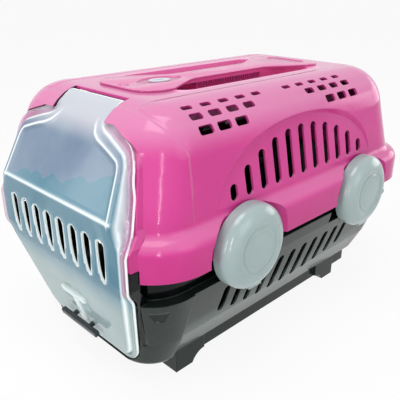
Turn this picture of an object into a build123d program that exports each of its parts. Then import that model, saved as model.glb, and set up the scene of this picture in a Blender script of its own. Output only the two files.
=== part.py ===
from build123d import *
from math import atan2, cos, degrees, radians, sin
import os

# Rounded plastic pet carrier: a tapered tub, a domed top shell that laps over it, a clear front
# door hung from the roof edge, four wheel-shaped clips that hold the shell down, and a roof handle.
# Millimetres. +Z is up, the door faces -Y and +X is the carrier's right side.
# The origin is on the floor, under the middle of the whole carrier.

# Walls and clearances
wall = 3.0
door_wall = 2.5
door_gap = 1.0
door_edge_gap = 1.0
lap_gap = 0.8
pin_clearance = 0.05
pin_chamfer = 0.4
boss_clearance = 0.3
slide_clearance = 0.5
well_gap = 1.0

# Top shell: upper body
shell_top = 303.5
shell_foot = 192.0
shell_half_width_low = 134.0
shell_half_width_high = 124.0
shell_front_low = -226.0
shell_front_high = -206.0
shell_rear_low = 236.0
shell_rear_high = 199.0
shell_front_corner_low = 44.0
shell_front_corner_high = 56.0
shell_rear_corner = 62.0
shoulder_radius = 50.0

# Top shell: the lip that laps over the tub
lip_bottom = 155.0
lip_top = 195.0
lip_half_width = 147.0
lip_front = -240.0
lip_rear = 243.5
lip_corner = 65.0
lip_shoulder = 14.0
shell_neck_round = 10.0
front_seam = 168.0

# Tub
tub_floor = 26.0
tub_floor_half_width = 92.0
tub_floor_front = -205.0
tub_floor_rear = 222.0
tub_corner_low = 34.0
tub_foot_round = 10.0
tub_waist = 62.0
tub_waist_half_width = 110.0
tub_waist_front = -214.0
tub_waist_rear = 236.0
tub_corner_high = 46.0
tub_ledge = 125.0
tub_ledge_half_width = 132.0
tub_ledge_front = -229.0
tub_ledge_rear = 241.0
neck_top = 166.0
neck_half_width = 122.0
neck_front = -225.0
neck_rear = 233.0
neck_corner = 48.0
sill_top = 141.0
sill_half_width = 136.0
sill_front = -55.0
sill_rear = 62.0
pillar_stand = 3.0
pillar_rear = -172.0

# Runner under the tub, and its four feet
runner_bottom = 9.0
runner_half_width = 88.0
runner_front = -164.0
runner_rear = 196.0
runner_corner = 12.0
runner_wall = 4.0
foot_outside = 93.0
foot_width = 36.0
foot_length = 25.0
foot_heel = 19.0
foot_heel_height = 12.0
foot_arc_run = 0.3
foot_arc_rise = 0.6
front_foot_y = -163.5
rear_foot_y = 151.0

# Doorway and the flat frame round it
doorway_half_width = 103.0
doorway_straight_top = 205.0
doorway_arc_half_width = 91.0
doorway_arc_z = 245.0
doorway_top = 272.0
doorway_top_half_width = 58.0
doorway_sill = 70.0
doorway_sill_half_width = 80.0
frame_depth = 10.0
frame_margin = 2.0
front_reach = 265.0
front_block_back = 160.0

# Front door: its flat rim, seen from the front and from the side
door_half_width = 117.0
door_ear_top = 190.0
door_neck_half_width = 111.5
door_neck = 204.0
door_side_half_width = 103.0
door_side_top = 256.0
door_arc_half_width = 96.0
door_arc_z = 269.5
door_shoulder_half_width = 82.0
door_shoulder = 277.0
door_crown_half_width = 61.0
door_crown = 284.0
door_tab_half_width = 44.5
door_fender = 150.0
door_crease = 132.0
door_crease_half_width = 112.0
door_bottom = 28.0
door_bottom_half_width = 58.0
door_foot_arc_half_width = 75.5
door_foot_arc_z = 35.5
door_foot_half_width = 86.0
door_foot = 52.0
rim_foot_front = -203.5
rim_crease_front = -230.5
rim_fender = 146.0
rim_fender_top = 187.0
rim_fender_front = -240.0
rim_neck = 200.0
rim_neck_front = -228.0
tab_arc_y = -138.5
tab_arc_z = 232.6
tab_arc_radius = 80.0
tab_arc_start = 17.8
tab_arc_end = 58.0

# Front door: the raised panel inside the rim
door_rim = 8.0
panel_foot_front = -209.5
panel_crease_front = -238.0
panel_grille_front = -242.5
panel_ledge = 209.0
panel_ledge_front = -243.5
panel_brow = 268.0
panel_brow_front = -214.5
panel_top = 280.0
panel_top_front = -206.5
slot_count = 8
slot_pitch = 23.25
slot_width = 12.0
slot_top = 190.0
slot_bottom = 141.0

# Door hinge
barrel_radius = 5.0
barrel_gap = 1.0
hinge_pin_radius = 2.5
hinge_pin_length = 22.0
hinge_pin_depth = 10.0
lug_inner = 46.0
lug_width = 12.0
notch_half_width = 46.0

# Finger scoop and thumb rest on the door, above the latch bar
scoop_radius = 24.0
scoop_centre = 22.0
scoop_top = 102.0
scoop_foot = 75.0
scoop_depth = 8.0
rest_half_length = 22.0
rest_height = 36.5
rest_thickness = 5.0
rest_stand = 3.0
rest_root = 9.0
stem_half_width = 5.0
stem_foot = -3.0
stem_stand = 1.5

# Latch bar at the foot of the door, measured square to the sloping panel
latch_z = 55.0
bar_half_length = 34.0
bar_height = 6.5
bar_depth = 6.0
bar_stand = 4.5
bar_round = 1.0
latch_travel = 7.0
leg_x = 16.0
leg_half_width = 2.0
leg_height = 4.0
retainer_half_length = 20.0
retainer_height = 12.0
retainer_thickness = 1.6
tongue_half_width = 6.0
tongue_thickness = 3.0
tongue_length = 13.0
keeper_gap = 0.5
window_side_gap = 2.0

# Side slots, roof vents and tub slots
side_slot_pitch = 23.2
side_slot_width = 11.0
side_slot_bottom = 207.0
side_slot_top = 262.0
side_slot_arch = 38.0
tub_slot_width = 10.5
tub_slot_bottom = 57.0
tub_slot_top = 109.0
tub_slot_arch = 14.0
slots_each_way = 5
arch_half_length = 140.0
arch_foot = 205.0
arch_height = 81.0
arch_lean = 0.2
arch_slope = 50.0
vent_lengths = (13.5, 15.5, 18.0)
vent_widths = (5.5, 7.5, 9.0)
vent_round = 2.4
vent_pitch = 24.3
vent_shift = 4.0
vent_angles = (65.0, 51.0, 34.0)
vent_counts = (5, 4, 3)
front_vent_starts = (-149.5, -147.0, -143.5)
rear_vent_starts = (-1.0, 30.0, 59.0)

# Hand well and carry handle
well_half_width = 58.0
well_front = -117.0
well_rear = 112.0
well_corner = 20.0
well_floor = 266.0
handle_top = 306.0
handle_underside = 300.0
pad_half_width = 48.0
pad_front = -154.0
pad_rear = 150.0
pad_inner_front = -118.0
pad_inner_rear = 114.0
pad_round = 26.0
handle_waist = 19.0
waist_front = -66.0
waist_rear = 62.0
waist_round = 30.0
grip_half_width = 17.0
grip_front = -58.0
grip_rear = 54.0
grip_bottom = 287.0
grip_round = 5.0
rib_pitch = 4.0
rib_width = 2.0
rib_depth = 0.8
badge_y = -97.0
badge_length = 28.0
badge_width = 20.0
badge_thickness = 1.6
badge_recess = 1.8
badge_round = 0.8
screw_x = 26.0
screw_front_y = -137.0
screw_rear_y = 133.0
boss_radius = 4.0
boss_length = 2.8
screw_radius = 1.5
screw_head_radius = 6.0
screw_head_height = 2.4
screw_reach = 1.6

# Wheel-shaped clips
wheel_radius = 46.0
wheel_z = 159.0
wheel_back = 136.0
wheel_tread = 148.0
wheel_face = 159.0
wheel_face_radius = 34.0
wheel_corner = 3.0
wheel_corner_inner = 2.5
hub_radius = 24.0
hub_groove = 1.6
hub_groove_depth = 1.2
front_wheel_y = -105.0
rear_wheel_y = 112.0
pocket_gap = 2.0
pocket_floor = 135.0
pocket_flare = 0.9
clip_pin_x = 139.5
clip_pin_z = 118.6
clip_pin_radius = 2.0
clip_pin_half_length = 14.5
knuckle_radius = 4.4
knuckle_half_length = 9.5
knuckle_reach = 153.0
ear_inner = 10.0
ear_thickness = 4.0
ear_radius = 3.9
ear_overrun = 1.0
ear_root = 128.5
rim_notch_half_length = 16.0
rim_notch_reach = 146.0
rim_notch_top = 127.0
rim_notch_overrun = 1.0
hook_half_length = 10.0
hook_z = 186.0
hook_thickness = 3.0
hook_tip = 131.0
hook_root = 157.0
hook_gap = 1.0


# Rounded rectangle in plan, with its own front and rear corners
def plan_outline(height, half_width, front, rear, front_corner, rear_corner):
    with BuildSketch(Plane.XY.offset(height)) as outline:
        with BuildLine():
            FilletPolyline(
                (half_width, front), (half_width, rear), (-half_width, rear), (-half_width, front),
                radius=(front_corner, rear_corner, rear_corner, front_corner), close=True,
            )
        make_face()
    return outline.sketch


# Domed upper body, or the space inside it when an inset is given
def shell_body(inset, foot):
    lean = (foot - shell_foot) / (shell_top - shell_foot)
    half_width = shell_half_width_low + (shell_half_width_high - shell_half_width_low) * lean
    front = shell_front_low + (shell_front_high - shell_front_low) * lean
    rear = shell_rear_low + (shell_rear_high - shell_rear_low) * lean
    with BuildPart() as body:
        add(plan_outline(foot, half_width - inset, front + inset, rear - inset,
                         shell_front_corner_low - inset, shell_rear_corner - inset))
        add(plan_outline(shell_top - inset, shell_half_width_high - inset, shell_front_high + inset,
                         shell_rear_high - inset, shell_front_corner_high - inset,
                         shell_rear_corner - inset))
        loft()
        fillet(body.faces().sort_by(Axis.Z)[-1].edges(), shoulder_radius - inset)
    return body.part


# Swollen band along the foot of the shell, or the space inside it
def lip_body(inset):
    with BuildPart() as lip:
        add(plan_outline(lip_bottom, lip_half_width - inset, lip_front + inset, lip_rear - inset,
                         lip_corner - inset, lip_corner - inset))
        extrude(amount=lip_top - inset - lip_bottom)
        fillet(lip.faces().sort_by(Axis.Z)[-1].edges(), lip_shoulder - inset)
    return lip.part


# Upper body and lip together, with a soft hollow corner where they meet
def shell_outside():
    hull, lip = shell_body(0, shell_foot), lip_body(0)
    with BuildPart() as outside:
        add(hull)
        add(lip)
        fillet(new_edges(hull, lip, combined=outside.part), shell_neck_round)
    return outside.part


# Tapered tub, or the space inside it
def tub_body(inset):
    with BuildPart() as tub:
        add(plan_outline(tub_floor + inset, tub_floor_half_width - inset, tub_floor_front + inset,
                         tub_floor_rear - inset, tub_corner_low - inset, tub_corner_low - inset))
        add(plan_outline(tub_waist, tub_waist_half_width - inset, tub_waist_front + inset,
                         tub_waist_rear - inset, tub_corner_high - inset, tub_corner_high - inset))
        add(plan_outline(tub_ledge - inset, tub_ledge_half_width - inset, tub_ledge_front + inset,
                         tub_ledge_rear - inset, tub_corner_high - inset, tub_corner_high - inset))
        loft(ruled=True)
        fillet(tub.faces().sort_by(Axis.Z)[0].edges(), tub_foot_round - inset)
    return tub.part


# Point on the tab's arc, seen from the right, at an angle above the horizontal
def tab_point(radius, angle):
    return (tab_arc_y - radius * cos(radians(angle)), tab_arc_z + radius * sin(radians(angle)))


# Side view of the door rim's front surface, moved forwards by a stand-off
def rim_points(stand):
    return [
        (rim_foot_front - stand, tub_floor),
        (rim_crease_front - stand, door_crease),
        (rim_fender_front - stand, rim_fender),
        (rim_fender_front - stand, rim_fender_top),
        (rim_neck_front - stand, rim_neck),
        tab_point(tab_arc_radius + stand, tab_arc_start),
    ]


# Plate that follows the rim's side view, between two stand-offs
def rim_plate(front_stand, back_stand):
    middle = (tab_arc_start + tab_arc_end) / 2
    front_radius, back_radius = tab_arc_radius + front_stand, tab_arc_radius + back_stand
    with BuildPart() as plate:
        with BuildSketch(Plane.YZ):
            with BuildLine():
                Polyline(*rim_points(front_stand))
                ThreePointArc(tab_point(front_radius, tab_arc_start), tab_point(front_radius, middle),
                              tab_point(front_radius, tab_arc_end))
                Line(tab_point(front_radius, tab_arc_end), tab_point(back_radius, tab_arc_end))
                ThreePointArc(tab_point(back_radius, tab_arc_end), tab_point(back_radius, middle),
                              tab_point(back_radius, tab_arc_start))
                Polyline(*reversed(rim_points(back_stand)))
                Line(rim_points(back_stand)[0], rim_points(front_stand)[0])
            make_face()
        extrude(amount=lip_half_width, both=True)
    return plate.part


# Front view of the door, without the hinge tab, grown or shrunk by a margin
def door_outline(margin):
    with BuildSketch() as outline:
        with BuildLine():
            Polyline((0, door_crown), (0, door_bottom), (door_bottom_half_width, door_bottom))
            ThreePointArc((door_bottom_half_width, door_bottom),
                          (door_foot_arc_half_width, door_foot_arc_z), (door_foot_half_width, door_foot))
            Polyline(
                (door_foot_half_width, door_foot), (door_crease_half_width, door_crease),
                (door_half_width, door_fender), (door_half_width, door_ear_top),
                (door_neck_half_width, door_neck), (door_side_half_width, door_side_top),
            )
            ThreePointArc((door_side_half_width, door_side_top), (door_arc_half_width, door_arc_z),
                          (door_shoulder_half_width, door_shoulder))
            Polyline((door_shoulder_half_width, door_shoulder), (door_crown_half_width, door_crown),
                     (0, door_crown))
        make_face()
        mirror(about=Plane.YZ)
        if margin:
            offset(amount=margin, kind=Kind.INTERSECTION)
    return outline.sketch


def tab_outline(margin):
    with BuildSketch() as outline:
        with Locations((0, (door_shoulder + shell_top) / 2)):
            Rectangle(2 * (door_tab_half_width + margin), shell_top - door_shoulder)
    return outline.sketch


# Block seen from the front, reaching from behind the tab to ahead of the door
def front_block(*sketches):
    with BuildPart() as block:
        with BuildSketch(Plane.XZ.offset(front_block_back)):
            for sketch in sketches:
                add(sketch)
        extrude(amount=front_reach - front_block_back)
    return block.part


def doorway_outline():
    with BuildSketch() as outline:
        with BuildLine():
            Polyline(
                (0, doorway_top), (0, doorway_sill), (doorway_sill_half_width, doorway_sill),
                (doorway_half_width, front_seam), (doorway_half_width, doorway_straight_top),
            )
            ThreePointArc((doorway_half_width, doorway_straight_top),
                          (doorway_arc_half_width, doorway_arc_z), (doorway_top_half_width, doorway_top))
            Line((doorway_top_half_width, doorway_top), (0, doorway_top))
        make_face()
        mirror(about=Plane.YZ)
    return outline.sketch


# Row of upright slots along the side, bowed at both ends
def side_slots(width, bottom, bottom_bow, top, top_bow):
    with BuildSketch() as slots:
        for number in range(-slots_each_way, slots_each_way + 1):
            bow = (number / slots_each_way) ** 2
            low, high = bottom + bottom_bow * bow, top - top_bow * bow
            with Locations((number * side_slot_pitch, (low + high) / 2)):
                SlotOverall(high - low, width, rotation=90)
    return slots.sketch


# Hollow in the flank under an arch: leaning floor, sloping rim; a margin and a depth grow it
def arch_hollow(margin, depth):
    foot_x = shell_half_width_low + (arch_foot - shell_foot) * (
        (shell_half_width_high - shell_half_width_low) / (shell_top - shell_foot))
    height = arch_height + margin
    with BuildPart() as arch:
        with BuildSketch(Plane.YZ.offset(foot_x)) as arch_side:
            with Locations((0, arch_foot)):
                Ellipse(arch_half_length + margin, height)
        extrude(amount=lip_half_width - foot_x)
        extrude(arch_side.sketch, amount=-arch_lean * height - 2 * wall, taper=arch_slope)
    with BuildPart() as slab:
        with BuildSketch(Plane.XZ):
            with BuildLine():
                Polyline((foot_x - depth, arch_foot), (lip_half_width, arch_foot),
                         (lip_half_width, arch_foot + height),
                         (foot_x - depth - arch_lean * height, arch_foot + height), close=True)
            make_face()
        extrude(amount=arch_half_length + margin, both=True)
    return arch.part & slab.part


# Round bar along X or Y, given by its middle
def bar_along(axis, centre, radius, length):
    turn = (0, 90, 0) if axis == "x" else (90, 0, 0)
    with BuildPart() as bar:
        with Locations(centre):
            Cylinder(radius, length, rotation=turn)
    return bar.part


# Box given by its two far corners
def box_between(low, high):
    size = [far - near for near, far in zip(low, high)]
    centre = tuple((near + far) / 2 for near, far in zip(low, high))
    with BuildPart() as box:
        with Locations(centre):
            Box(*size)
    return box.part


# Door hinge axis: the barrel lies just under the tab's outer end
hinge_y, hinge_z = tab_point(tab_arc_radius - barrel_radius, tab_arc_end)
hinge_pin_x = door_tab_half_width - hinge_pin_depth + hinge_pin_length / 2
frame_stand = -door_wall - door_gap
seam_block = box_between((-lip_half_width, -front_reach, tub_floor),
                         (lip_half_width, -front_block_back, front_seam))
pillar_block = box_between((-lip_half_width, -front_reach, runner_bottom),
                           (lip_half_width, pillar_rear, tub_ledge))
door_seat = front_block(door_outline(door_edge_gap), tab_outline(door_edge_gap))
frame_block = front_block(door_outline(frame_margin))
doorway = front_block(doorway_outline())
frame_plate = rim_plate(frame_stand, frame_stand - frame_depth) & frame_block
door_space = door_seat & rim_plate(front_reach + lip_front, frame_stand)
seam_space = front_block(door_outline(frame_margin + lap_gap)) & box_between(
    (-lip_half_width, -front_reach, lip_bottom), (lip_half_width, -front_block_back, front_seam + lap_gap))
hinge_notch = box_between((-notch_half_width, -front_reach, hinge_z),
                          (notch_half_width, hinge_y + barrel_radius + barrel_gap, shell_top))
barrel_space = bar_along("x", (0, hinge_y, hinge_z), barrel_radius + barrel_gap, 2 * notch_half_width)
panel_tilt = atan2(panel_foot_front - panel_crease_front, door_crease - door_bottom)
latch_front = panel_foot_front + (latch_z - door_bottom) * (
    (panel_crease_front - panel_foot_front) / (door_crease - door_bottom))
latch_plane = Plane(origin=(0, latch_front, latch_z), x_dir=(1, 0, 0),
                    z_dir=(0, -cos(panel_tilt), -sin(panel_tilt)))
retainer_front = -door_wall - slide_clearance
retainer_top = retainer_height - leg_height / 2
rim_notch_middle = (wheel_back + rim_notch_reach) / 2
clips = [
    ("front_left", -1, front_wheel_y), ("front_right", 1, front_wheel_y),
    ("rear_left", -1, rear_wheel_y), ("rear_right", 1, rear_wheel_y),
]


# Box on the sloping foot of the door: across, up the slope and out from the panel
def latch_box(across, up, out):
    with BuildPart(latch_plane) as box:
        with Locations(((across[0] + across[1]) / 2, (up[0] + up[1]) / 2, (out[0] + out[1]) / 2)):
            Box(across[1] - across[0], up[1] - up[0], out[1] - out[0])
    return box.part


# Vent through the rounded edge of the roof
def roof_vent(along, angle, length, width):
    across = shell_half_width_high - shoulder_radius + vent_shift
    reach = shoulder_radius - 2 * wall
    normal = (cos(radians(angle)), 0, sin(radians(angle)))
    origin = (across + reach * normal[0], along, shell_top - shoulder_radius + reach * normal[2])
    with BuildPart() as vent:
        with BuildSketch(Plane(origin=origin, x_dir=(0, 1, 0), z_dir=normal)):
            RectangleRounded(length, width, vent_round)
        extrude(amount=4 * wall)
    return vent.part


# Flared pocket round a wheel, on one side of the carrier; a wall grows it and sinks its floor
def wheel_pocket(side, centre_y, pocket_wall):
    inner, outer = pocket_floor - pocket_wall, wheel_face
    inner_radius = wheel_radius + pocket_gap + pocket_wall / 2
    with BuildPart() as pocket:
        with Locations((side * (inner + outer) / 2, centre_y, wheel_z)):
            Cone(inner_radius, inner_radius + pocket_flare * (outer - inner), outer - inner,
                 rotation=(0, side * 90, 0))
    return pocket.part


# Raised stretch of the tub's edge between the wheels, or the space inside it
def side_sill(inset):
    root = neck_half_width - wall - inset
    with BuildPart() as sill:
        with BuildSketch(Plane.XZ.offset(-sill_rear + inset)):
            with BuildLine():
                Polyline((root, tub_ledge - wall - inset),
                         (tub_ledge_half_width - 1.5 * inset, tub_ledge - inset),
                         (sill_half_width - inset, sill_top - inset), (root, sill_top - inset),
                         close=True)
            make_face()
        extrude(amount=sill_rear - sill_front - 2 * inset)
    return sill.part


# Inside of the door's raised panel, or its outside at no depth, down to the rim
def door_panel(depth, margin):
    back = -front_block_back
    with BuildPart() as panel:
        with BuildSketch(Plane.YZ):
            with BuildLine():
                Polyline(
                    (back, door_bottom), (panel_foot_front + depth, door_bottom),
                    (panel_crease_front + depth, door_crease),
                    (panel_grille_front + depth, door_fender),
                    (panel_ledge_front + depth, panel_ledge - depth / 2),
                    (panel_brow_front + depth, panel_brow - depth / 2),
                    (panel_top_front + depth, panel_top - depth), (back, panel_top - depth), close=True,
                )
            make_face()
        extrude(amount=lip_half_width, both=True)
    return panel.part & front_block(door_outline(-margin), tab_outline(-margin))


# Finger scoop above the latch bar: an arch whose floor runs out towards its foot
def scoop(depth):
    with BuildPart() as arch:
        with BuildSketch(latch_plane):
            with Locations((0, scoop_centre)):
                Circle(scoop_radius + depth)
            with Locations((0, (scoop_foot - latch_z + scoop_centre) / 2)):
                Rectangle(2 * (scoop_radius + depth), scoop_centre - scoop_foot + latch_z)
        extrude(amount=2 * scoop_depth, both=True)
    slope = (panel_crease_front - panel_foot_front) / (door_crease - door_bottom)
    foot_front = panel_foot_front + slope * (scoop_foot - door_bottom)
    top_front = panel_foot_front + slope * (scoop_top - door_bottom)
    reach = scoop_top + depth
    lead = 0 if depth else door_wall
    with BuildPart() as wedge:
        with BuildSketch(Plane.YZ):
            with BuildLine():
                Polyline((foot_front - lead, scoop_foot - depth), (foot_front + depth, scoop_foot - depth),
                         (top_front + scoop_depth + depth, reach), (top_front - lead, reach), close=True)
            make_face()
        extrude(amount=lip_half_width, both=True)
    return arch.part & wedge.part


# Handle seen from above: wide pads, drawn in to a waist over the hand well
def handle_outline():
    with BuildSketch() as outline:
        with BuildLine():
            FilletPolyline(
                (0, pad_front), (pad_half_width, pad_front), (pad_half_width, pad_inner_front),
                (handle_waist, waist_front), (handle_waist, waist_rear),
                (pad_half_width, pad_inner_rear), (pad_half_width, pad_rear), (0, pad_rear),
                radius=(pad_round, pad_round, waist_round, waist_round, pad_round, pad_round),
            )
            Line((0, pad_rear), (0, pad_front))
        make_face()
        mirror(about=Plane.YZ)
    return outline.sketch


# Rib grooves down both sides of the grip
def rib_places():
    count = int((grip_rear - grip_front) / rib_pitch) - 1
    first = (grip_front + grip_rear - (count - 1) * rib_pitch) / 2
    middle = (grip_bottom + handle_underside) / 2
    return [(side * grip_half_width, first + place * rib_pitch, middle)
            for side in (-1, 1) for place in range(count)]


# Half section of a wheel clip, turned about its axle: hollow behind, hub and groove in front
def wheel_section():
    with BuildSketch() as section:
        with BuildLine():
            Polyline((wheel_face, 0), (wheel_face, hub_radius),
                     (wheel_face - hub_groove_depth, hub_radius),
                     (wheel_face - hub_groove_depth, hub_radius + hub_groove),
                     (wheel_face, hub_radius + hub_groove), (wheel_face, wheel_face_radius))
            ThreePointArc((wheel_face, wheel_face_radius),
                          (wheel_face - wheel_corner, wheel_radius - wheel_corner),
                          (wheel_tread, wheel_radius))
            Polyline((wheel_tread, wheel_radius), (wheel_back, wheel_radius),
                     (wheel_back, wheel_radius - wall), (wheel_tread, wheel_radius - wall))
            ThreePointArc((wheel_tread, wheel_radius - wall),
                          (wheel_face - wall - wheel_corner_inner,
                           wheel_radius - wall - wheel_corner_inner),
                          (wheel_face - wall, wheel_face_radius - wall))
            Polyline((wheel_face - wall, wheel_face_radius - wall), (wheel_face - wall, 0),
                     (wheel_face, 0))
        make_face()
    return section.sketch


vents = [
    roof_vent(start + place * vent_pitch, angle, length, width)
    for starts in (front_vent_starts, rear_vent_starts)
    for start, angle, length, width, count in zip(
        starts, vent_angles, vent_lengths, vent_widths, vent_counts)
    for place in range(count)
]
screw_places = [(x, y) for y in (screw_front_y, screw_rear_y) for x in (-screw_x, screw_x)]
os.makedirs("parts", exist_ok=True)


# Tub: tapered wall, ledge, upright neck inside the lip, door frame, runner and feet
with BuildPart() as base_tub:
    add(tub_body(0))
    add(tub_body(-pillar_stand) & pillar_block)
    add(tub_body(wall), mode=Mode.SUBTRACT)
    with BuildSketch(Plane.XY.offset(tub_ledge - wall)):
        add(plan_outline(0, neck_half_width, neck_front, neck_rear, neck_corner, neck_corner))
    extrude(amount=neck_top - tub_ledge + wall)
    with BuildSketch(Plane.XY.offset(tub_ledge - 2 * wall)):
        add(plan_outline(0, neck_half_width - wall, neck_front + wall, neck_rear - wall,
                         neck_corner - wall, neck_corner - wall))
    extrude(amount=neck_top - tub_ledge + 3 * wall, mode=Mode.SUBTRACT)
    for inset, mode in ((0, Mode.ADD), (wall, Mode.SUBTRACT)):
        add(side_sill(inset), mode=mode)
        add(side_sill(inset).mirror(Plane.YZ), mode=mode)
    add(door_space, mode=Mode.SUBTRACT)
    add(frame_plate & seam_block)
    add(doorway, mode=Mode.SUBTRACT)

    with BuildSketch(Plane.XY.offset(runner_bottom)):
        add(plan_outline(0, runner_half_width, runner_front, runner_rear, runner_corner, runner_corner))
        add(plan_outline(0, runner_half_width - runner_wall, runner_front + runner_wall,
                         runner_rear - runner_wall, runner_corner - runner_wall,
                         runner_corner - runner_wall), mode=Mode.SUBTRACT)
    extrude(amount=tub_floor + wall - runner_bottom)

    for heel_y, toe in ((front_foot_y, 1), (rear_foot_y, -1)):
        with BuildSketch(Plane.YZ.offset(foot_outside - foot_width)) as foot_side:
            with BuildLine():
                Polyline(
                    (heel_y + toe * (foot_length + foot_heel), foot_heel_height),
                    (heel_y + toe * (foot_length + foot_heel), tub_floor + wall),
                    (heel_y, tub_floor + wall), (heel_y, 0), (heel_y + toe * foot_length, 0),
                )
                ThreePointArc((heel_y + toe * foot_length, 0),
                              (heel_y + toe * (foot_length + foot_arc_run * foot_heel),
                               foot_arc_rise * foot_heel_height),
                              (heel_y + toe * (foot_length + foot_heel), foot_heel_height))
            make_face()
        extrude(amount=foot_width)
        mirror(extrude(foot_side.sketch, amount=foot_width, mode=Mode.PRIVATE), about=Plane.YZ)

    with BuildSketch(Plane.YZ.offset(-lip_half_width)):
        add(side_slots(tub_slot_width, tub_slot_bottom, tub_slot_arch, tub_slot_top, 0))
    extrude(amount=2 * lip_half_width, mode=Mode.SUBTRACT)

    for _, side, wheel_y in clips:
        for ear_side in (-1, 1):
            ear_y = wheel_y + ear_side * (ear_inner + ear_thickness / 2)
            add(bar_along("y", (side * clip_pin_x, ear_y, clip_pin_z), ear_radius, ear_thickness))
            with Locations((side * (ear_root + clip_pin_x) / 2, ear_y, clip_pin_z)):
                Box(clip_pin_x - ear_root, ear_thickness, 2 * ear_radius)
        add(bar_along("y", (side * clip_pin_x, wheel_y, clip_pin_z), clip_pin_radius + pin_clearance,
                      2 * (ear_inner + ear_thickness + ear_overrun)), mode=Mode.SUBTRACT)

    add(latch_box((-tongue_half_width - window_side_gap, tongue_half_width + window_side_gap),
                  (-tongue_thickness / 2 - keeper_gap,
                   tongue_thickness / 2 + latch_travel + window_side_gap),
                  (-2 * front_block_back, 0)), mode=Mode.SUBTRACT)
base_tub.part.label = "base_tub"
export_step(base_tub.part, "parts/base_tub.step")

# Top shell: domed body, lip, door frame, hand well, hinge lugs and wheel pockets
with BuildPart() as top_shell:
    add(shell_outside())
    add(shell_body(wall, lip_top - 2 * wall), mode=Mode.SUBTRACT)
    add(lip_body(wall), mode=Mode.SUBTRACT)

    with BuildSketch(Plane.XY.offset(well_floor - wall)):
        add(plan_outline(0, well_half_width + wall, well_front - wall, well_rear + wall,
                         well_corner + wall, well_corner + wall))
    extrude(amount=shell_top - wall / 2 - well_floor + wall)
    with BuildSketch(Plane.XY.offset(well_floor)):
        add(plan_outline(0, well_half_width, well_front, well_rear, well_corner, well_corner))
    extrude(amount=shell_top - well_floor, mode=Mode.SUBTRACT)

    add(door_space, mode=Mode.SUBTRACT)
    add(frame_plate - seam_block)
    add(doorway, mode=Mode.SUBTRACT)
    add(seam_space, mode=Mode.SUBTRACT)

    for side in (-1, 1):
        add(bar_along("x", (side * (lug_inner + lug_width / 2), hinge_y, hinge_z), barrel_radius,
                      lug_width))
    add(hinge_notch, mode=Mode.SUBTRACT)
    add(barrel_space, mode=Mode.SUBTRACT)
    add(bar_along("x", (0, hinge_y, hinge_z), hinge_pin_radius + pin_clearance,
                  2 * (hinge_pin_x + hinge_pin_length / 2 + pin_clearance)), mode=Mode.SUBTRACT)

    for _, side, wheel_y in clips:
        add(wheel_pocket(side, wheel_y, wall) & lip_body(0))
        add(wheel_pocket(side, wheel_y, 0), mode=Mode.SUBTRACT)
        with Locations((side * pocket_floor, wheel_y, hook_z + hook_thickness / 2)):
            Box(4 * wall, 2 * (hook_half_length + hook_gap), hook_thickness + 2 * hook_gap,
                mode=Mode.SUBTRACT)

    arch_wall = arch_hollow(wall, wall) & shell_body(0, shell_foot)
    arch_space = arch_hollow(0, 0)
    for shape, mode in ((arch_wall, Mode.ADD), (arch_space, Mode.SUBTRACT)):
        add(shape, mode=mode)
        add(shape.mirror(Plane.YZ), mode=mode)

    with BuildSketch(Plane.YZ.offset(-lip_half_width)):
        add(side_slots(side_slot_width, side_slot_bottom, 0, side_slot_top, side_slot_arch))
    extrude(amount=2 * lip_half_width, mode=Mode.SUBTRACT)
    for vent in vents:
        add(vent, mode=Mode.SUBTRACT)
        add(vent.mirror(Plane.YZ), mode=Mode.SUBTRACT)
    with Locations(*[(x, y, shell_top - wall / 2) for x, y in screw_places]):
        Cylinder(boss_radius + boss_clearance, 2 * wall, mode=Mode.SUBTRACT)
top_shell.part.label = "top_shell"
export_step(top_shell.part, "parts/top_shell.step")

# Clear front door: flat rim, raised panel, hinge barrel, finger scoop and thumb rest
with BuildPart() as front_door:
    add(rim_plate(0, -door_wall) & front_block(door_outline(0), tab_outline(0)))
    add(door_panel(0, door_rim) & rim_plate(front_reach + lip_front, -door_wall))
    add(door_panel(door_wall, door_rim + door_wall), mode=Mode.SUBTRACT)
    add(scoop(door_wall))
    add(scoop(0), mode=Mode.SUBTRACT)
    add(bar_along("x", (0, hinge_y, hinge_z), barrel_radius, 2 * door_tab_half_width))
    for side in (-1, 1):
        bore_length = hinge_pin_depth + pin_clearance
        add(bar_along("x", (side * (door_tab_half_width - bore_length / 2), hinge_y, hinge_z),
                      hinge_pin_radius + pin_clearance, bore_length), mode=Mode.SUBTRACT)
    with BuildSketch(Plane.XZ.offset(-panel_ledge_front)):
        for place in range(slot_count):
            slot_x = (place - (slot_count - 1) / 2) * slot_pitch
            with Locations((slot_x, (slot_top + slot_bottom) / 2)):
                SlotOverall(slot_top - slot_bottom, slot_width, rotation=90)
    extrude(amount=-4 * door_wall, mode=Mode.SUBTRACT)
    for leg_side in (-1, 1):
        add(latch_box((leg_side * leg_x - leg_half_width - slide_clearance,
                       leg_side * leg_x + leg_half_width + slide_clearance),
                      (-leg_height / 2 - slide_clearance,
                       leg_height / 2 + latch_travel + slide_clearance),
                      (-2 * door_wall, 2 * door_wall)), mode=Mode.SUBTRACT)
    add(latch_box((-stem_half_width, stem_half_width), (stem_foot, rest_height),
                  (-door_wall, stem_stand)))
    add(latch_box((-rest_half_length, rest_half_length), (rest_height, rest_height + rest_thickness),
                  (-rest_root, rest_stand)))
front_door.part.label = "front_door"
export_step(front_door.part, "parts/front_door.step")

# Hinge pins, held half in the door's barrel and half in the shell's lugs
for name, side in (("hinge_pin_left", -1), ("hinge_pin_right", 1)):
    with BuildPart() as hinge_pin:
        with Locations((side * hinge_pin_x, hinge_y, hinge_z)):
            Cylinder(hinge_pin_radius, hinge_pin_length, rotation=(0, 90, 0))
        chamfer(hinge_pin.edges(), pin_chamfer)
    hinge_pin.part.label = name
    export_step(hinge_pin.part, f"parts/{name}.step")

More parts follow.
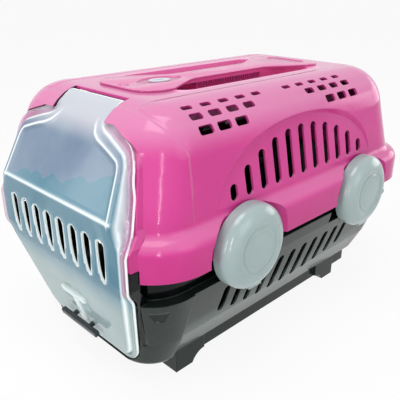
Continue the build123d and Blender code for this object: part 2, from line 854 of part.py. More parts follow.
# Latch bar: the bar in front, two legs through the door, and a retainer with its tongue behind
with BuildPart() as latch_bar:
    add(latch_box((-bar_half_length, bar_half_length), (-bar_height / 2, bar_height / 2),
                  (bar_stand, bar_stand + bar_depth)))
    fillet(latch_bar.edges(), bar_round)
    for leg_side in (-1, 1):
        add(latch_box((leg_side * leg_x - leg_half_width, leg_side * leg_x + leg_half_width),
                      (-leg_height / 2, leg_height / 2), (retainer_front, bar_stand + bar_depth / 2)))
    add(latch_box((-retainer_half_length, retainer_half_length), (-leg_height / 2, retainer_top),
                  (retainer_front - retainer_thickness, retainer_front)))
    add(latch_box((-tongue_half_width, tongue_half_width),
                  (-tongue_thickness / 2, tongue_thickness / 2),
                  (retainer_front - tongue_length, retainer_front)))
latch_bar.part.label = "latch_bar"
export_step(latch_bar.part, "parts/latch_bar.step")

# Carry handle: two pads on the roof joined by a waisted bar over the hand well
with BuildPart() as carry_handle:
    with BuildSketch(Plane.XY.offset(shell_top)):
        add(handle_outline())
    extrude(amount=handle_top - shell_top)
    with BuildSketch(Plane.XY.offset(handle_underside)):
        add(handle_outline())
        add(plan_outline(0, well_half_width - well_gap, well_front + well_gap, well_rear - well_gap,
                         well_corner - well_gap, well_corner - well_gap), mode=Mode.INTERSECT)
    extrude(amount=shell_top - handle_underside)
    with Locations(*[(x, y, shell_top) for x, y in screw_places]):
        Cylinder(boss_radius, boss_length, align=(Align.CENTER, Align.CENTER, Align.MAX))
    with BuildSketch(Plane.XY.offset(handle_top)):
        with Locations((0, badge_y)):
            SlotOverall(badge_length + 2 * pin_clearance, badge_width + 2 * pin_clearance, rotation=90)
    extrude(amount=-badge_recess, mode=Mode.SUBTRACT)
    with Locations(*[(x, y, shell_top - boss_length) for x, y in screw_places]):
        Cylinder(screw_radius + pin_clearance, boss_length + screw_reach + pin_clearance,
                 align=(Align.CENTER, Align.CENTER, Align.MIN), mode=Mode.SUBTRACT)
carry_handle.part.label = "carry_handle"
export_step(carry_handle.part, "parts/carry_handle.step")

# Ribbed lower half of the handle, under the bar
with BuildPart() as handle_grip:
    with Locations((0, (grip_front + grip_rear) / 2, grip_bottom)):
        Box(2 * grip_half_width, grip_rear - grip_front, handle_underside - grip_bottom,
            align=(Align.CENTER, Align.CENTER, Align.MIN))
    fillet(handle_grip.edges().group_by(Axis.Z)[0].filter_by(Axis.Y), grip_round)
    with Locations(*rib_places()):
        Box(rib_depth * 2, rib_width, handle_underside - grip_bottom, mode=Mode.SUBTRACT)
handle_grip.part.label = "handle_grip"
export_step(handle_grip.part, "parts/handle_grip.step")

# Bare oval badge let into the front of the handle
with BuildPart() as handle_badge:
    with BuildSketch(Plane.XY.offset(handle_top - badge_recess)):
        with Locations((0, badge_y)):
            SlotOverall(badge_length, badge_width, rotation=90)
    extrude(amount=badge_thickness)
    fillet(handle_badge.faces().sort_by(Axis.Z)[-1].edges(), badge_round)
handle_badge.part.label = "handle_badge"
export_step(handle_badge.part, "parts/handle_badge.step")

# Four wide-headed screws that draw the handle down from under the roof
with BuildPart() as handle_screws:
    with Locations(*[(x, y, shell_top - wall) for x, y in screw_places]):
        Cylinder(screw_head_radius, screw_head_height, align=(Align.CENTER, Align.CENTER, Align.MAX))
    with Locations(*[(x, y, shell_top - wall - screw_head_height) for x, y in screw_places]):
        Cylinder(screw_radius, screw_head_height + wall + screw_reach,
                 align=(Align.CENTER, Align.CENTER, Align.MIN))
handle_screws.part.label = "handle_screws"
export_step(handle_screws.part, "parts/handle_screws.step")

# Wheel-shaped clips and the pins they swing on
for name, side, wheel_y in clips:
    with BuildPart() as wheel_clip:
        with BuildSketch(Plane.XY):
            add(wheel_section())
        revolve(axis=Axis.X)
        with Locations((rim_notch_middle, 0, rim_notch_top - wheel_z - wheel_radius / 2)):
            Box(rim_notch_reach - wheel_back + 2 * rim_notch_overrun, 2 * rim_notch_half_length,
                wheel_radius, mode=Mode.SUBTRACT)
        with Locations((clip_pin_x, 0, clip_pin_z - wheel_z)):
            Cylinder(knuckle_radius, 2 * knuckle_half_length, rotation=(90, 0, 0))
        with Locations(((clip_pin_x + knuckle_reach) / 2, 0, clip_pin_z - wheel_z)):
            Box(knuckle_reach - clip_pin_x, 2 * knuckle_half_length, 2 * knuckle_radius)
        with Locations((clip_pin_x, 0, clip_pin_z - wheel_z)):
            Cylinder(clip_pin_radius + pin_clearance, 2 * ear_inner, rotation=(90, 0, 0),
                     mode=Mode.SUBTRACT)
        with Locations(((hook_tip + hook_root) / 2, 0, hook_z - wheel_z + hook_thickness / 2)):
            Box(hook_root - hook_tip, 2 * hook_half_length, hook_thickness)
    placed = wheel_clip.part.moved(Location((0, wheel_y, wheel_z)))
    if side < 0:
        placed = placed.mirror(Plane.YZ)
    placed.label = f"wheel_clip_{name}"
    export_step(placed, f"parts/{placed.label}.step")

    with BuildPart() as clip_pin:
        with Locations((side * clip_pin_x, wheel_y, clip_pin_z)):
            Cylinder(clip_pin_radius, 2 * clip_pin_half_length, rotation=(90, 0, 0))
        chamfer(clip_pin.edges(), pin_chamfer)
    clip_pin.part.label = f"clip_pin_{name}"
    export_step(clip_pin.part, f"parts/{clip_pin.part.label}.step")
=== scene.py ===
import math

import bpy
from mathutils import Matrix, Vector


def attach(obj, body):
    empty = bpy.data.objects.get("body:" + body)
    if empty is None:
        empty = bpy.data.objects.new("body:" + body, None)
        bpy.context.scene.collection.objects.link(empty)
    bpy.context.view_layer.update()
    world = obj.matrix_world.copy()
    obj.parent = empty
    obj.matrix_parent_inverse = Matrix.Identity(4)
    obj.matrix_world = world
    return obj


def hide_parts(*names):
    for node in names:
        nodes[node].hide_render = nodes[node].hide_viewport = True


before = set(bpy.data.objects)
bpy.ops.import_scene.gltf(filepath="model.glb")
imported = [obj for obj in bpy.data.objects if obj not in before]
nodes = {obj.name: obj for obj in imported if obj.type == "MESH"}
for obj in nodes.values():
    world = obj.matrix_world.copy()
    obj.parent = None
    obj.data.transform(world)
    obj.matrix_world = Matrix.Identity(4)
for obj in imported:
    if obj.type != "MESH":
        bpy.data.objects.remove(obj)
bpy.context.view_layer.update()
scene = bpy.context.scene


# Colours are written as sRGB values from 0 to 255
def rgb(red, green, blue):
    def linear(value):
        value /= 255
        return value / 12.92 if value <= 0.04045 else ((value + 0.055) / 1.055) ** 2.4
    return (linear(red), linear(green), linear(blue), 1.0)


# Camera at the photograph's angle: yaw, pitch and roll in degrees, place in metres, the rest in
# pixels of the photograph
CAMERA_TURN = (44.6465, 23.6741, 0.3196)
CAMERA_PLACE = (0.44571, -0.47070, 0.40514)
PHOTO_SIZE = 400
FOCAL_LENGTH = 523.495
CENTRE_SHIFT = (-8.594, 9.661)
SENSOR_WIDTH = 36.0


def add_camera():
    yaw, pitch, roll = [math.radians(angle) for angle in CAMERA_TURN]
    ahead = Vector((-math.sin(yaw) * math.cos(pitch), math.cos(yaw) * math.cos(pitch), -math.sin(pitch)))
    right = ahead.cross(Vector((0, 0, 1))).normalized()
    up = right.cross(ahead)
    rolled_right = math.cos(roll) * right + math.sin(roll) * up
    rolled_up = math.cos(roll) * up - math.sin(roll) * right
    data = bpy.data.cameras.new("camera")
    data.sensor_width = SENSOR_WIDTH
    data.lens = FOCAL_LENGTH / PHOTO_SIZE * SENSOR_WIDTH
    data.shift_x = CENTRE_SHIFT[0] / PHOTO_SIZE
    data.shift_y = CENTRE_SHIFT[1] / PHOTO_SIZE
    data.clip_start, data.clip_end = 0.02, 20.0
    camera = bpy.data.objects.new("camera", data)
    camera.matrix_world = Matrix((
        (rolled_right.x, rolled_up.x, -ahead.x, CAMERA_PLACE[0]),
        (rolled_right.y, rolled_up.y, -ahead.y, CAMERA_PLACE[1]),
        (rolled_right.z, rolled_up.z, -ahead.z, CAMERA_PLACE[2]),
        (0, 0, 0, 1),
    ))
    scene.collection.objects.link(camera)
    scene.camera = camera


# Rectangular lamp that looks from its place to a target, all in metres and watts
def add_light(name, place, target, size, power):
    data = bpy.data.lights.new(name, "AREA")
    data.shape = "RECTANGLE"
    data.size, data.size_y = size
    data.energy = power
    light = bpy.data.objects.new(name, data)
    light.location = place
    light.rotation_mode = "QUATERNION"
    light.rotation_quaternion = (Vector(target) - Vector(place)).to_track_quat("-Z", "Y")
    scene.collection.objects.link(light)


# Adds nodes to a tree and links them; values may be numbers, colours or the outputs of other nodes
class Nodes:
    def __init__(self, tree):
        self.tree = tree

    def add(self, kind, **values):
        node = self.tree.nodes.new(kind)
        for name, value in values.items():
            setattr(node, name, value)
        return node

    def link(self, source, target):
        self.tree.links.new(source, target)

    def put(self, socket, value):
        if isinstance(value, bpy.types.NodeSocket):
            self.tree.links.new(value, socket)
        else:
            socket.default_value = value

    def math(self, operation, first, second=0.0, third=None, clamp=False):
        node = self.add("ShaderNodeMath", operation=operation, use_clamp=clamp)
        self.put(node.inputs[0], first)
        self.put(node.inputs[1], second)
        if third is not None:
            self.put(node.inputs[2], third)
        return node.outputs[0]

    def ramp(self, value, low, high, to_low=0.0, to_high=1.0, smooth=True):
        shape = "SMOOTHSTEP" if smooth else "LINEAR"
        node = self.add("ShaderNodeMapRange", interpolation_type=shape, clamp=True)
        for socket, number in zip(node.inputs, (value, low, high, to_low, to_high)):
            self.put(socket, number)
        return node.outputs[0]

    # 0 up to the start, 1 from full to last, and 0 again after the end
    def band(self, value, start, full, last, end):
        return self.math("MULTIPLY", self.ramp(value, start, full), self.ramp(value, last, end, 1.0, 0.0))

    def mix(self, factor, first, second):
        node = self.add("ShaderNodeMix", data_type="RGBA", clamp_factor=True)
        self.put(node.inputs[0], factor)
        self.put(node.inputs[6], first)
        self.put(node.inputs[7], second)
        return node.outputs[2]

    def noise(self, place, scale, detail, rough):
        node = self.add("ShaderNodeTexNoise")
        self.put(node.inputs["Vector"], place)
        node.inputs["Scale"].default_value = scale
        node.inputs["Detail"].default_value = detail
        node.inputs["Roughness"].default_value = rough
        return node.outputs["Fac"]


# Radius of the soft corners in metres, and the most that their colour wears off
EDGE_RADIUS = 0.0012
EDGE_WEAR = 0.35


# Moulded plastic: mottled colour, slow waves in the gloss, soft corners and worn edges.
# A pattern may add its own colour and relief from the place on the object, in metres.
def plastic_nodes(name, colour, shade, worn, rough=0.22, wave=0.12, coat=0.0, gloss=0.5, ior=1.5,
                  metallic=0.0, pattern=None):
    material = bpy.data.materials.new(name)
    material.use_nodes = True
    tree = material.node_tree
    tree.nodes.clear()
    n = Nodes(tree)
    place = n.add("ShaderNodeTexCoord").outputs["Object"]
    mottle = n.noise(place, 9.0, 3.0, 0.55)
    fine = n.noise(place, 420.0, 2.0, 0.6)
    waves = n.noise(place, 26.0, 1.0, 0.4)
    base = n.mix(n.ramp(mottle, 0.35, 0.68), colour, shade)
    relief = None
    if pattern:
        base, relief = pattern(n, place, base)

    soft = n.add("ShaderNodeBevel", samples=6)
    soft.inputs["Radius"].default_value = EDGE_RADIUS
    flat = n.add("ShaderNodeNewGeometry").outputs["Normal"]
    bend = n.add("ShaderNodeVectorMath", operation="DOT_PRODUCT")
    n.link(soft.outputs["Normal"], bend.inputs[0])
    n.link(flat, bend.inputs[1])
    edge = n.ramp(bend.outputs["Value"], 0.995, 0.80)
    scuff = n.math("MULTIPLY", edge, n.ramp(n.noise(place, 70.0, 4.0, 0.65), 0.42, 0.72, 0.0, EDGE_WEAR))
    base = n.mix(scuff, base, worn)

    bump = n.add("ShaderNodeBump")
    bump.inputs["Strength"].default_value = 1.0
    bump.inputs["Distance"].default_value = 0.001
    n.link(soft.outputs["Normal"], bump.inputs["Normal"])
    height = n.math("MULTIPLY_ADD", fine, 0.012, n.math("MULTIPLY", waves, wave))
    if relief is not None:
        height = n.math("ADD", height, relief)
    n.link(height, bump.inputs["Height"])

    shader = n.add("ShaderNodeBsdfPrincipled")
    n.link(base, shader.inputs["Base Color"])
    satin = n.math("ADD", n.ramp(n.noise(place, 30.0, 4.0, 0.6), 0.3, 0.75, rough * 0.8, rough * 1.3),
                   n.math("MULTIPLY", scuff, 0.25))
    n.link(satin, shader.inputs["Roughness"])
    n.link(bump.outputs["Normal"], shader.inputs["Normal"])
    shader.inputs["Metallic"].default_value = metallic
    shader.inputs["IOR"].default_value = ior
    shader.inputs["Specular IOR Level"].default_value = gloss
    shader.inputs["Coat Weight"].default_value = coat
    shader.inputs["Coat Roughness"].default_value = 0.08
    out = n.add("ShaderNodeOutputMaterial")
    n.link(shader.outputs[0], out.inputs["Surface"])
    return material, n, shader


# The same plastic, for a material that needs no further nodes
def plastic(*name_and_colours, **looks):
    return plastic_nodes(*name_and_colours, **looks)[0]


def dress(node, material):
    node.data.materials.clear()
    node.data.materials.append(material)


# Mesh helpers. Measures in the making of the pieces are in millimetres, in the CAD frame.
def make_object(name, points, faces, scale=0.001):
    mesh = bpy.data.meshes.new(name)
    mesh.from_pydata([Vector(point) * scale for point in points], [], faces)
    mesh.update()
    piece = bpy.data.objects.new(name, mesh)
    scene.collection.objects.link(piece)
    return piece


def smooth_shade(piece, angle=35):
    for face in piece.data.polygons:
        face.use_smooth = True
    piece.data.set_sharp_from_angle(angle=math.radians(angle))


# Puts the result of a piece's modifiers in the place of its mesh
def bake_modifiers(piece):
    graph = bpy.context.evaluated_depsgraph_get()
    graph.update()
    mesh = bpy.data.meshes.new_from_object(piece.evaluated_get(graph))
    old = piece.data
    piece.modifiers.clear()
    piece.data = mesh
    bpy.data.meshes.remove(old)
    mesh.name = piece.name


# Gives a sheet a wall on the far side of its faces
def thicken(piece, depth):
    modifier = piece.modifiers.new("wall", "SOLIDIFY")
    modifier.thickness = depth * 0.001
    modifier.offset = -1.0
    modifier.use_even_offset = True
    bake_modifiers(piece)


# Takes the cutters out of a piece, or adds them to it, and deletes them
def cut(piece, cutters, operation="DIFFERENCE"):
    for cutter in cutters:
        modifier = piece.modifiers.new("cut", "BOOLEAN")
        modifier.operation = operation
        modifier.solver = "EXACT"
        modifier.object = cutter
    bake_modifiers(piece)
    for cutter in cutters:
        bpy.data.objects.remove(cutter, do_unlink=True)


# Makes one object of several, which are deleted
def join(pieces, name):
    points, faces = [], []
    for piece in pieces:
        start = len(points)
        points += [tuple(piece.matrix_world @ vertex.co) for vertex in piece.data.vertices]
        faces += [tuple(start + index for index in face.vertices) for face in piece.data.polygons]
        bpy.data.objects.remove(piece, do_unlink=True)
    return make_object(name, points, faces, 1.0)


# Rounds the edges that turn by more than an angle
def soften(piece, width, angle=30):
    modifier = piece.modifiers.new("edges", "BEVEL")
    modifier.width = width * 0.001
    modifier.segments = 3
    modifier.limit_method = "ANGLE"
    modifier.angle_limit = math.radians(angle)
    modifier.harden_normals = False
    bake_modifiers(piece)


# Prism between two like outlines
def prism(name, lower, upper):
    count = len(lower)
    faces = [tuple(reversed(range(count))), tuple(range(count, 2 * count))]
    faces += [(i, (i + 1) % count, count + (i + 1) % count, count + i) for i in range(count)]
    return make_object(name, list(lower) + list(upper), faces)


# Upright prism, from an outline of (x, y)
def upright_prism(name, outline, low, high):
    return prism(name, [(x, y, low) for x, y in outline], [(x, y, high) for x, y in outline])


# Prism along Y, from an outline of (x, z)
def front_prism(name, outline, front, back):
    return prism(name, [(x, front, z) for x, z in outline], [(x, back, z) for x, z in outline])


# Prism along Y about a middle, from an outline of (x, z) on the right; side mirrors it
def side_prism(name, outline, side, middle, half_length):
    ends = [[(side * x, middle + y, z) for x, z in outline][::side] for y in (-half_length, half_length)]
    return prism(name, *ends)


# Solid turned about the X axis through a centre, from a profile of (x, radius); side mirrors it
def lathe(name, profile, centre, side, steps):
    points, faces = [], []
    for x, radius in profile:
        for step in range(steps):
            angle = 2 * math.pi * step / steps
            y = centre[0] + radius * math.cos(angle)
            points.append((side * x, y, centre[1] + radius * math.sin(angle)))
    rings = len(profile)
    for ring in range(rings):
        after = (ring + 1) % rings
        for step in range(steps):
            next_step = (step + 1) % steps
            face = (ring * steps + step, ring * steps + next_step, after * steps + next_step,
                    after * steps + step)
            faces.append(face if side > 0 else tuple(reversed(face)))
    return make_object(name, points, faces)


# Points on an arc, from a start to an end in degrees
def arc_points(centre, radius, start, end, count):
    return [(centre[0] + radius * math.cos(math.radians(start + (end - start) * i / (count - 1))),
             centre[1] + radius * math.sin(math.radians(start + (end - start) * i / (count - 1))))
            for i in range(count)]


def ellipse_points(centre, across, along, count):
    angles = [2 * math.pi * i / count for i in range(count)]
    return [(centre[0] + across * math.cos(a), centre[1] + along * math.sin(a)) for a in angles]


# Polygon with rounded corners, from corners of (x, y, radius)
def rounded_polygon(corners):
    steps = 8
    points = []
    for index, (x, y, radius) in enumerate(corners):
        before, after = Vector(corners[index - 1][:2]), Vector(corners[(index + 1) % len(corners)][:2])
        here = Vector((x, y))
        one, two = (before - here).normalized(), (after - here).normalized()
        half_angle = math.acos(max(-1.0, min(1.0, one.dot(two)))) / 2
        reach = radius / math.tan(half_angle)
        centre = here + (one + two).normalized() * (radius / math.sin(half_angle))
        first, last = here + one * reach - centre, here + two * reach - centre
        turn = first.angle_signed(last)
        for step in range(steps + 1):
            share = Matrix.Rotation(-turn * step / steps, 2) @ first
            points.append((centre.x + share.x, centre.y + share.y))
    return points


# Value at a place in a table of (place, value), along straight lines
def blend_line(table, value):
    for (low, first), (high, second) in zip(table, table[1:]):
        if value <= high:
            share = max(0.0, (value - low) / (high - low))
            return first + (second - first) * share
    return table[-1][1]


def smoothstep(low, high, value):
    share = min(1.0, max(0.0, (value - low) / (high - low)))
    return share * share * (3 - 2 * share)


# 1 up to the first end and 0 from the second
def fade_out(ends, value):
    return 1 - smoothstep(*ends, value)


# 1 at no distance, falling off on both sides
def ridge(distance, width):
    return math.exp(-(distance / width) ** 2)


def spread(low, high, count):
    return [low + (high - low) * i / (count - 1) for i in range(count)]


# Distance from a place to the stretch between two points
def stretch_distance(x, z, start, end):
    run, rise = end[0] - start[0], end[1] - start[1]
    along = ((x - start[0]) * run + (z - start[1]) * rise) / (run * run + rise * rise)
    share = min(1.0, max(0.0, along))
    return math.hypot(x - start[0] - share * run, z - start[1] - share * rise)


# Gives a piece its material and body, and names the nodes that it stands in for
def fixed(piece, material, body, *replaced, slot=None):
    dress(piece, material)
    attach(piece, body)
    if replaced:
        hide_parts(*replaced)


# Door, seen from the front: half width at each height
DOOR_HALF = [(28, 58), (29.5, 65.5), (32, 71), (35.5, 75.5), (41, 80.5), (46.5, 84), (52, 86.2), (60, 88.8),
             (132, 112), (141, 114.8), (150, 117), (188, 117), (193, 115.8), (199, 113.2), (205, 111.4),
             (256, 103), (263, 100.4), (269.5, 96), (274, 90), (277, 82), (280.5, 71.5), (283.5, 62),
             (286, 52.5), (288, 48), (290.5, 45.5), (294, 44.5), (301, 44.5)]
DOOR_FOOT, DOOR_FOOT_HALF = DOOR_HALF[0]
DOOR_WALL = 2.5
# Place in Y of its flange and of its panel at each height
RIM_FRONT = [(28, -204), (132, -230.5), (146, -240), (187, -240), (200, -228), (233, -218.5)]
PANEL_FRONT = [(28, -209.5), (132, -237.5), (150, -241.4), (209, -242.0), (268, -214), (280, -207)]
# Arc that the flange follows towards the roof: centre as (y, z), and the heights where it takes over
ARC_CENTRE = (-138.5, 232.6)
ARC_RADIUS = 80
ARC_START, ARC_FULL = 225, 255
# Form of the door, as distances in from its outline and heights
LIP_HEIGHT = 0.7
LIP_EDGE = (1.2, 3.2)
PANEL_EDGE = (6.0, 10.0)
PANEL_LINE = 8.2
PANEL_END = (268, 288)
BEAD_INSET = 15.5
BEAD_HEIGHT = 0.9
BEAD_END = (272, 284)
WINDOW_INSET = 18.5
WINDOW_FOOT = 213
WINDOW_DEPTH = 1.2
WINDOW_END = (270, 284)
LEDGE_PLACE = 210
LEDGE_HEIGHT = 0.6
LEDGE_LINE = 210.5
CLEAR_END = (268, 280)
LINE_END = (276, 288)
# Scoop behind the thumb rest's stem, round above and deeper upwards
SCOOP_DEPTH = 8.0
SCOOP_START, SCOOP_FULL = 72, 99
SCOOP_CENTRE = 77
SCOOP_EDGE = (22.0, 25.0)
LEAN_COSINE = 0.964
# Row of slots in the panel
SLOT_COUNT = 8
SLOT_PITCH = 23.25
SLOT_XS = [(place - (SLOT_COUNT - 1) / 2) * SLOT_PITCH for place in range(SLOT_COUNT)]
SLOT_HALF = 6.4
SLOT_HEAD = 184
SLOT_FOOT = [(-6.4, 174), (-6, 166), (-4.9, 158), (-2.9, 150.5), (-0.6, 145.6), (1.2, 144.2), (2.8, 146.5),
             (4.6, 153), (5.8, 162), (6.4, 173)]
SLOT_HEIGHTS = (142, 193)
SLOT_CUT = (-250, -225)
# Two windows beside the stem's foot
LEG_WINDOW_X = (9.0, 22.5)
LEG_WINDOW_Z = (51.8, 65.5)
LEG_WINDOW_CUT = (-235, -200)
# Rows and columns of the door's sheet, close together where its form turns
DOOR_HEIGHTS = (spread(28, 40, 10) + spread(41.6, 138, 56) + spread(139.3, 206, 48) + spread(207, 214, 8)
                + spread(215.4, 258, 30) + spread(259, 301, 52))
EDGE_INSETS = [0, 0.7, 1.4, 2.2, 3.2, 4.4, 5.6, 6.6, 7.6, 8.6, 9.6, 10.8, 12, 13.2, 14.2, 15.2, 16.2, 17.2,
               18.4, 19.6, 20.8, 22.4]
INNER_COUNT = 65
# Half width below which the columns at the edges move closer together
NARROW_HALF = 62
# More than any distance on the door
FAR = 1e3


# Value at a place in a table, with its corners rounded over a reach
def rounded_line(table, value, reach):
    samples = [blend_line(table, value + reach * step / 4) for step in range(-4, 5)]
    return sum(samples) / len(samples)


# Distance in from the door's outline, seen from the front; the tab's end doesn't count
def door_inset(x, z):
    x = abs(x)
    nearest = abs(z - DOOR_FOOT) if x < DOOR_FOOT_HALF else FAR
    for (z0, x0), (z1, x1) in zip(DOOR_HALF, DOOR_HALF[1:]):
        nearest = min(nearest, stretch_distance(x, z, (x0, z0), (x1, z1)))
    return nearest


def arc_y(z):
    share = min(1.0, (z - ARC_CENTRE[1]) / ARC_RADIUS)
    return ARC_CENTRE[0] - ARC_RADIUS * math.sqrt(1 - share * share)


def rim_y(z):
    if z > ARC_FULL:
        return arc_y(z)
    line = rounded_line(RIM_FRONT, z, 5)
    if z < ARC_START:
        return line
    return line + (arc_y(z) - line) * smoothstep(ARC_START, ARC_FULL, z)


# Distance in from the window's border
def window_inset(inset, z):
    return min(inset - WINDOW_INSET, z - WINDOW_FOOT)


# Place in Y of the door's front face
def door_y(x, z):
    inset = door_inset(x, z)
    y = rim_y(z)
    panel = rounded_line(PANEL_FRONT, z, 2.5)
    y += (min(panel, y) - y) * smoothstep(*PANEL_EDGE, inset) * fade_out(PANEL_END, z)
    # raised lip along the outer edge
    y -= LIP_HEIGHT * fade_out(LIP_EDGE, inset)
    # window a step back from the panel, with a bead round it
    y += WINDOW_DEPTH * smoothstep(0, 2.5, window_inset(inset, z)) * fade_out(WINDOW_END, z)
    bead = ridge(inset - BEAD_INSET, 1.6) * smoothstep(196, 206, z) * fade_out(BEAD_END, z)
    y -= BEAD_HEIGHT * bead
    # ledge line under the window
    y -= LEDGE_HEIGHT * ridge(z - LEDGE_PLACE, 2.0) * smoothstep(12, 16, inset)
    return y


# How far the scoop pushes the front face back
def scoop_push(x, z):
    if z < SCOOP_START:
        return 0.0
    reach = math.hypot(x, max(0.0, (z - SCOOP_CENTRE) / LEAN_COSINE))
    return SCOOP_DEPTH * smoothstep(SCOOP_START, SCOOP_FULL, z) * fade_out(SCOOP_EDGE, reach)


# Outline of a slot in the panel, rounded above and drawn to a point below
def slot_outline(middle):
    points = arc_points((0, SLOT_HEAD), SLOT_HALF, 0, 180, 13) + SLOT_FOOT
    return [(middle + x, z) for x, z in reversed(points)]


def door_openings():
    cutters = [front_prism("slot", slot_outline(middle), *SLOT_CUT) for middle in SLOT_XS]
    low, high = LEG_WINDOW_Z
    for side in (-1, 1):
        left, right = sorted(side * x for x in LEG_WINDOW_X)
        outline = [(left, low), (right, low), (right, high), (left, high)]
        cutters.append(front_prism("leg_window", outline, *LEG_WINDOW_CUT))
    return join(cutters, "openings")


def make_door():
    points = []
    for z in DOOR_HEIGHTS:
        half = blend_line(DOOR_HALF, z)
        scale = min(1.0, half / NARROW_HALF)
        row = [-half + edge * scale for edge in EDGE_INSETS]
        row += spread(row[-1], -row[-1], INNER_COUNT)[1:-1]
        row += [half - edge * scale for edge in reversed(EDGE_INSETS)]
        points += [(x, door_y(x, z) + scoop_push(x, z), z) for x in row]
    across = 2 * len(EDGE_INSETS) + INNER_COUNT - 2
    faces = [(r * across + c, r * across + c + 1, (r + 1) * across + c + 1, (r + 1) * across + c)
             for r in range(len(DOOR_HEIGHTS) - 1) for c in range(across - 1)]
    door = make_object("door_sheet", points, faces)
    thicken(door, DOOR_WALL)
    cut(door, [door_openings()])
    smooth_shade(door, 40)
    return door


# Nearest distance to the border of a slot, seen from the front
def slot_distance(x, z):
    if not SLOT_HEIGHTS[0] < z < SLOT_HEIGHTS[1]:
        return FAR
    outline = slot_outline(min(SLOT_XS, key=lambda place: abs(place - x)))
    return min(stretch_distance(x, z, start, end) for start, end in zip(outline, outline[1:] + outline[:1]))


# Stores for each point of the door how far it is clear window, white line, flange and scoop,
# for its material; the white line is a painted highlight and glow
def mark_door(door):
    kinds = ("clear", "line", "rim", "scoop")
    for name in kinds:
        door.data.attributes.new(name, "FLOAT", "POINT")
    clear, line, rim, scoop = [door.data.attributes[name].data for name in kinds]
    for index, vertex in enumerate(door.data.vertices):
        x, z = vertex.co.x * 1000, vertex.co.z * 1000
        inset = door_inset(x, z)
        clear[index].value = smoothstep(-0.5, 1.5, window_inset(inset, z)) * fade_out(CLEAR_END, z)
        scoop[index].value = scoop_push(x, z) / SCOOP_DEPTH
        rim[index].value = fade_out((7.0, 8.0), inset)
        below_tab = fade_out(LINE_END, z)
        # painted highlight along the bead, the outer edge, the panel line, the ledge line and the slots'
        # edges
        line[index].value = max(
            ridge(inset - BEAD_INSET, 1.0) * smoothstep(204, 212, z) * below_tab,
            0.9 * fade_out((0.1, 0.9), inset),
            0.85 * ridge(inset - PANEL_LINE, 0.9) * below_tab,
            0.9 * ridge(z - LEDGE_LINE, 1.5) * smoothstep(10, 14, inset),
            0.9 * fade_out((0.3, 1.0), slot_distance(x, z)),
        )


# Front slope of the tub: lean in degrees, and (y, z) of its foot
SLOPE_LEAN = 15.325
SLOPE_FOOT = (-216.899, 55)


def on_slope(across, up, out):
    lean = math.radians(SLOPE_LEAN)
    return (across, SLOPE_FOOT[0] - up * math.sin(lean) - out * math.cos(lean),
            SLOPE_FOOT[1] + up * math.cos(lean) - out * math.sin(lean))


# Block on the slope, from an outline of (across, up) and how far its two ends stand out
def slope_block(name, outline, ends):
    return prism(name, *[[on_slope(across, up, out) for across, up in outline] for out in ends])


# Wheel-shaped clip: rounded tyre, dished face with two rings, knuckle and hook
WHEEL_PROFILE = [
    (136, 43), (136, 45.4), (136.6, 46), (145.5, 46), (148.2, 45.6), (150.8, 44.5), (153.2, 42.6),
    (155.2, 40.2), (156.9, 37.4), (158.2, 34.4), (158.9, 31.6), (158.8, 29.4), (158.2, 27.4),
    (157.5, 26.2), (157.1, 25.2), (157.3, 24.4), (157.9, 23.8), (158.2, 22.4), (158.3, 20.2),
    (158.0, 19.5), (157.9, 18.9), (158.2, 18.3), (158.5, 16), (158.7, 8), (158.7, 0.05), (155.7, 0.05),
    (155.5, 29), (154.4, 34), (151.8, 39), (147.5, 42.6),
]
WHEEL_HEIGHT = 159
# Clip pin in (x, z), and the parts of the clip that are prisms along it
CLIP_PIN = (139.5, 118.6)
NOTCH = [(135, 105), (147, 105), (147, 127), (135, 127)]
HOOK = [(131, 186), (157, 186), (157, 189), (132.5, 189)]
KNUCKLE_RADIUS = 4.4
KNUCKLE_ROOT = [(153, 114.2), (153, 123.0)]
PIN_BORE_RADIUS = 2.05


def make_wheel(name, side, centre_y):
    pin_x, pin_z = CLIP_PIN
    wheel = lathe(name, WHEEL_PROFILE, (centre_y, WHEEL_HEIGHT), side, 128)
    cut(wheel, [side_prism("notch", NOTCH, side, centre_y, 16)])
    angles = [math.pi / 2 + math.pi * step / 16 for step in range(17)]
    barrel = [(pin_x + KNUCKLE_RADIUS * math.cos(a), pin_z + KNUCKLE_RADIUS * math.sin(a)) for a in angles]
    cut(wheel, [side_prism("knuckle", barrel + KNUCKLE_ROOT, side, centre_y, 9.5)], "UNION")
    cut(wheel, [side_prism("hook", HOOK, side, centre_y, 10)], "UNION")
    bore = ellipse_points(CLIP_PIN, PIN_BORE_RADIUS, PIN_BORE_RADIUS, 24)
    cut(wheel, [side_prism("bore", bore, side, centre_y, 11)])
    smooth_shade(wheel, 38)
    return wheel


# Handle plate: hourglass with soft edges, a boat-shaped hollow, one behind it and a ring groove
HANDLE_CORNERS = [(48, -154, 26), (48, -118, 26), (19, -66, 30), (19, 62, 30), (48, 114, 26), (48, 150, 26)]
PLATE_FOOT, PLATE_TOP = 303.6, 306.0
UNDER_CORNERS = [(20, -110, 6), (20, 105, 6), (-20, 105, 6), (-20, -110, 6)]
REAR_CORNERS = [(26, 118, 5), (30, 136, 8), (-30, 136, 8), (-26, 118, 5)]
HOLLOW_FLOOR = 305.0
BOAT_FLOOR = 304.8
# Height above the plate where the cutters end
CUT_TOP = 307
BADGE_Y = -97
BOSS_CENTRE = (0, -145)


def handle_outline():
    left = [(-x, y, radius) for x, y, radius in reversed(HANDLE_CORNERS)]
    return rounded_polygon(HANDLE_CORNERS + left)


# Outline stretched about the badge's centre
def about_badge(outline, across, along):
    return [(x * across, BADGE_Y + (y - BADGE_Y) * along) for x, y in outline]


